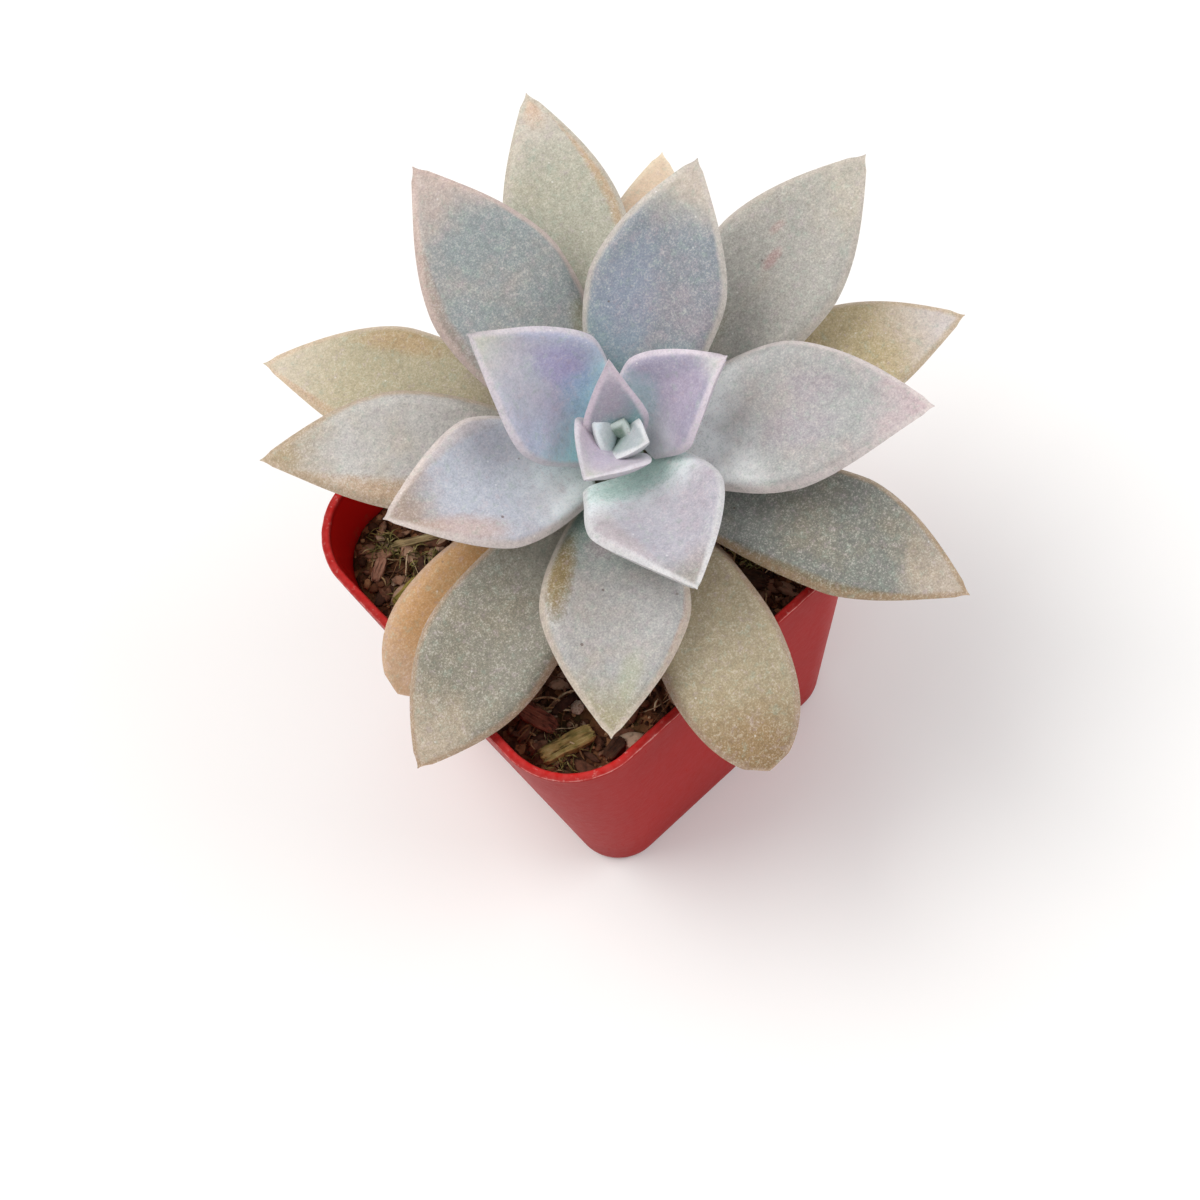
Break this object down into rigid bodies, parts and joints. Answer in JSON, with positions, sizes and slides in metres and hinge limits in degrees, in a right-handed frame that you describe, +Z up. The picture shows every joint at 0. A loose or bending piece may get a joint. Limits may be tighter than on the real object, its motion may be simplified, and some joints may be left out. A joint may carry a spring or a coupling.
{
  "type": "potted succulent",
  "caption": "Ghost-plant succulent rosette of fleshy pointed leaves growing in bark soil in a small square tapered plastic pot.",
  "frame": {"origin": "centre of the pot's flat underside, where it stands", "axes": "+Z up; the pot's sides lie along X and Y; the rosette leans toward -Y"},
  "size_m": [0.0926, 0.0848, 0.0897],
  "materials": {
    "pot_plastic": "thin satin red plastic, slightly scuffed",
    "soil": "dark crumbly bark and peat mix, fully rough",
    "stem_skin": "smooth fleshy stem, matte",
    "leaf_old": "fleshy leaf, olive to tan, fine sandy speckle, matte",
    "leaf_middle": "fleshy leaf, grey green with a powdery bloom and paler margins",
    "leaf_young": "fleshy leaf, blue green to lavender with a waxy bloom and pale pink margins",
    "bark": "rough bark",
    "twig": "dry weathered twig",
    "perlite": "rough porous grain"
  },
  "bodies": {
    "root": {"pot": "pot_plastic", "soil": "soil", "stem": "stem_skin", "bark_chip_1": "bark", "bark_chip_2": "bark", "bark_chip_3": "bark", "bark_chip_4": "bark", "bark_chip_5": "bark", "bark_chip_6": "bark", "leaf_01": "leaf_old", "leaf_02": "leaf_old", "leaf_03": "leaf_old", "leaf_04": "leaf_old", "leaf_05": "leaf_old", "leaf_06": "leaf_old", "leaf_07": "leaf_old", "leaf_08": "leaf_old", "leaf_09": "leaf_old", "leaf_10": "leaf_middle", "leaf_11": "leaf_middle", "leaf_12": "leaf_middle", "leaf_13": "leaf_middle", "leaf_14": "leaf_middle", "leaf_15": "leaf_middle", "leaf_16": "leaf_young", "leaf_17": "leaf_young", "leaf_18": "leaf_young", "leaf_19": "leaf_young", "leaf_20": "leaf_young", "leaf_21": "leaf_young", "leaf_22": "leaf_young", "leaf_23": "leaf_young", "perlite_1": "perlite", "perlite_2": "perlite", "perlite_3": "perlite", "twig_1": "twig", "twig_2": "twig"}
  },
  "joints": []
}
